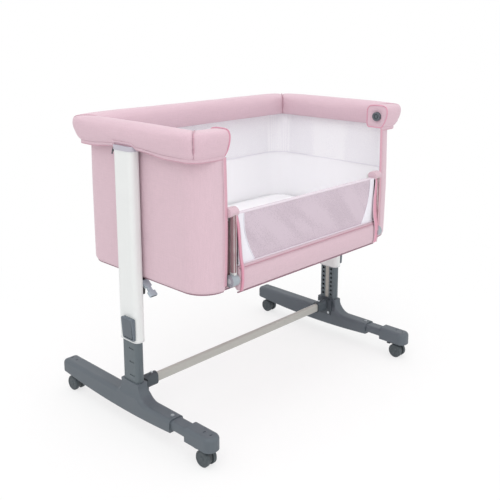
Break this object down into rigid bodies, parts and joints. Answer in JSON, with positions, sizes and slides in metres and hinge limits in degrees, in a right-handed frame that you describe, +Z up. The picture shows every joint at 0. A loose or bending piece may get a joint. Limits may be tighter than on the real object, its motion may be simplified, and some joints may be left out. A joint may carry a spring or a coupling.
{
  "type": "bedside sleeper crib",
  "caption": "Padded bassinet on two telescopic legs with extending castor feet and a front side that folds down for use beside a bed.",
  "frame": {"origin": "on the floor under the middle of the crib, at the bottom centre of the whole part", "axes": "+X along the crib towards the end on the right of someone facing the folding front, -Y out of the folding front, +Z up"},
  "size_m": [0.945, 0.668, 0.866],
  "materials": {
    "foot_plastic": "moulded slate grey nylon, fine texture",
    "post_plastic": "moulded grey plastic sleeve over the leg tube",
    "strip_plastic": "pale insert strip",
    "post_paint": "pale grey powder coat",
    "bar_paint": "warm grey powder coat",
    "socket_plastic": "moulded dark grey plastic",
    "cap_plastic": "moulded light grey plastic",
    "lever_plastic": "moulded mid grey plastic",
    "castor_plastic": "moulded dark grey plastic",
    "button_plastic": "moulded grey plastic",
    "steel": "zinc plated steel",
    "frame_steel": "white powder coat",
    "rim_fabric": "pink woven polyester over foam",
    "cover_fabric": "pink woven polyester",
    "mesh_fabric": "white polyester mesh",
    "mattress_fabric": "white knitted cover over foam",
    "board": "hardboard",
    "buckle_plastic": "moulded grey acetal",
    "webbing": "black woven webbing"
  },
  "bodies": {
    "stand": {"foot_left": "foot_plastic", "foot_right": "foot_plastic", "lower_post_left": "post_plastic", "lower_post_right": "post_plastic", "post_strips": "strip_plastic", "post_glides": "button_plastic", "cross_bar": "bar_paint", "bar_sockets": "socket_plastic", "stand_screws": "steel"},
    "bassinet": {"outer_post_left": "post_paint", "outer_post_right": "post_paint", "post_bushings": "post_plastic", "release_housings": "lever_plastic", "post_caps": "cap_plastic", "top_frame_tube": "frame_steel", "rail_receivers": "socket_plastic", "rim_pad_back": "rim_fabric", "rim_pad_left": "rim_fabric", "rim_pad_right": "rim_fabric", "rim_pad_returns": "rim_fabric", "cover_back": "cover_fabric", "cover_left": "cover_fabric", "cover_right": "cover_fabric", "cover_returns": "cover_fabric", "cover_bottom": "cover_fabric", "base_frame_tube": "frame_steel", "base_board": "board", "frame_bolts": "steel", "gate_posts": "frame_steel", "elbow_pins": "steel", "barrier_panel": "cover_fabric", "strap_buckle": "buckle_plastic", "strap_webbing": "webbing"},
    "gate": {"gate_arms": "steel", "gate_rail": "frame_steel", "gate_hubs": "lever_plastic", "gate_rail_pad": "rim_fabric", "gate_mesh_panel": "mesh_fabric"},
    "bed": {"mattress": "mattress_fabric"},
    "extension_left": {"foot_extension_left": "foot_plastic"},
    "extension_lock_left": {"extension_button_left": "button_plastic"},
    "lever_left": {"release_lever_left": "lever_plastic"},
    "bolt_left": {"latch_bolt_left": "steel"},
    "hub_button_left": {"gate_button_left": "cap_plastic"},
    "castor_front_left": {"castor_housing_front_left": "castor_plastic"},
    "wheels_front_left": {"castor_wheels_front_left": "castor_plastic"},
    "castor_rear_left": {"castor_housing_rear_left": "castor_plastic"},
    "wheels_rear_left": {"castor_wheels_rear_left": "castor_plastic"},
    "brake_left": {"brake_lever_left": "castor_plastic"},
    "extension_right": {"foot_extension_right": "foot_plastic"},
    "extension_lock_right": {"extension_button_right": "button_plastic"},
    "lever_right": {"release_lever_right": "lever_plastic"},
    "bolt_right": {"latch_bolt_right": "steel"},
    "hub_button_right": {"gate_button_right": "cap_plastic"},
    "castor_front_right": {"castor_housing_front_right": "castor_plastic"},
    "wheels_front_right": {"castor_wheels_front_right": "castor_plastic"},
    "castor_rear_right": {"castor_housing_rear_right": "castor_plastic"},
    "wheels_rear_right": {"castor_wheels_rear_right": "castor_plastic"},
    "brake_right": {"brake_lever_right": "castor_plastic"}
  },
  "joints": [
    {"name": "height_slide", "type": "slide", "parent": "stand", "child": "bassinet", "axis": [0, 0, 1], "range_m": [-0.1, 0.04]},
    {"name": "drop_side_fold", "type": "hinge", "parent": "bassinet", "child": "gate", "pos_m": [0, -0.262, 0.648], "axis": [-1, 0, 0], "range_deg": [0, 180]},
    {"name": "mattress_lift", "type": "slide", "parent": "bassinet", "child": "bed", "axis": [0, 0, 1], "range_m": [0, 0.28]},
    {"name": "foot_extension_left_slide", "type": "slide", "parent": "stand", "child": "extension_left", "axis": [0, 1, 0], "range_m": [0, 0.058]},
    {"name": "extension_button_left_press", "type": "slide", "parent": "stand", "child": "extension_lock_left", "axis": [0, 0, -1], "range_m": [0, 0.0025], "stiffness_N_per_m": 800, "springref_m": -0.001},
    {"name": "release_lever_left_pull", "type": "hinge", "parent": "bassinet", "child": "lever_left", "pos_m": [-0.4667, -0.0105, 0.274], "axis": [0, -1, 0], "range_deg": [0, 10], "stiffness_Nm_per_rad": 0.6, "springref_deg": -5.73},
    {"name": "latch_bolt_left_slide", "type": "slide", "parent": "bassinet", "child": "bolt_left", "axis": [-1, 0, 0], "range_m": [0, 0.0033]},
    {"name": "gate_button_left_press", "type": "slide", "parent": "gate", "child": "hub_button_left", "axis": [1, 0, 0], "range_m": [0, 0.004], "stiffness_N_per_m": 600, "springref_m": -0.001},
    {"name": "castor_front_left_swivel", "type": "hinge", "parent": "extension_left", "child": "castor_front_left", "pos_m": [-0.445, -0.289, 0.05], "axis": [0, 0, 1], "continuous": true},
    {"name": "castor_front_left_spin", "type": "hinge", "parent": "castor_front_left", "child": "wheels_front_left", "pos_m": [-0.445, -0.297, 0.023], "axis": [1, 0, 0], "continuous": true},
    {"name": "castor_rear_left_swivel", "type": "hinge", "parent": "stand", "child": "castor_rear_left", "pos_m": [-0.445, 0.289, 0.05], "axis": [0, 0, 1], "continuous": true},
    {"name": "castor_rear_left_spin", "type": "hinge", "parent": "castor_rear_left", "child": "wheels_rear_left", "pos_m": [-0.445, 0.297, 0.023], "axis": [1, 0, 0], "continuous": true},
    {"name": "brake_lever_left_press", "type": "hinge", "parent": "castor_front_left", "child": "brake_left", "pos_m": [-0.445, -0.28, 0.043], "axis": [-1, 0, 0], "range_deg": [0, 12]},
    {"name": "foot_extension_right_slide", "type": "slide", "parent": "stand", "child": "extension_right", "axis": [0, 1, 0], "range_m": [0, 0.058]},
    {"name": "extension_button_right_press", "type": "slide", "parent": "stand", "child": "extension_lock_right", "axis": [0, 0, -1], "range_m": [0, 0.0025], "stiffness_N_per_m": 800, "springref_m": -0.001},
    {"name": "release_lever_right_pull", "type": "hinge", "parent": "bassinet", "child": "lever_right", "pos_m": [0.4667, -0.0105, 0.274], "axis": [0, 1, 0], "range_deg": [0, 10], "stiffness_Nm_per_rad": 0.6, "springref_deg": -5.73},
    {"name": "latch_bolt_right_slide", "type": "slide", "parent": "bassinet", "child": "bolt_right", "axis": [1, 0, 0], "range_m": [0, 0.0033]},
    {"name": "gate_button_right_press", "type": "slide", "parent": "gate", "child": "hub_button_right", "axis": [-1, 0, 0], "range_m": [0, 0.004], "stiffness_N_per_m": 600, "springref_m": -0.001},
    {"name": "castor_front_right_swivel", "type": "hinge", "parent": "extension_right", "child": "castor_front_right", "pos_m": [0.445, -0.289, 0.05], "axis": [0, 0, 1], "continuous": true},
    {"name": "castor_front_right_spin", "type": "hinge", "parent": "castor_front_right", "child": "wheels_front_right", "pos_m": [0.445, -0.297, 0.023], "axis": [1, 0, 0], "continuous": true},
    {"name": "castor_rear_right_swivel", "type": "hinge", "parent": "stand", "child": "castor_rear_right", "pos_m": [0.445, 0.289, 0.05], "axis": [0, 0, 1], "continuous": true},
    {"name": "castor_rear_right_spin", "type": "hinge", "parent": "castor_rear_right", "child": "wheels_rear_right", "pos_m": [0.445, 0.297, 0.023], "axis": [1, 0, 0], "continuous": true},
    {"name": "brake_lever_right_press", "type": "hinge", "parent": "castor_front_right", "child": "brake_right", "pos_m": [0.445, -0.28, 0.043], "axis": [-1, 0, 0], "range_deg": [0, 12]}
  ],
  "couplings": [
    {"joint": "latch_bolt_left_slide", "follows": "release_lever_left_pull", "m_per_rad": 0.0172},
    {"joint": "latch_bolt_right_slide", "follows": "release_lever_right_pull", "m_per_rad": 0.0172}
  ]
}
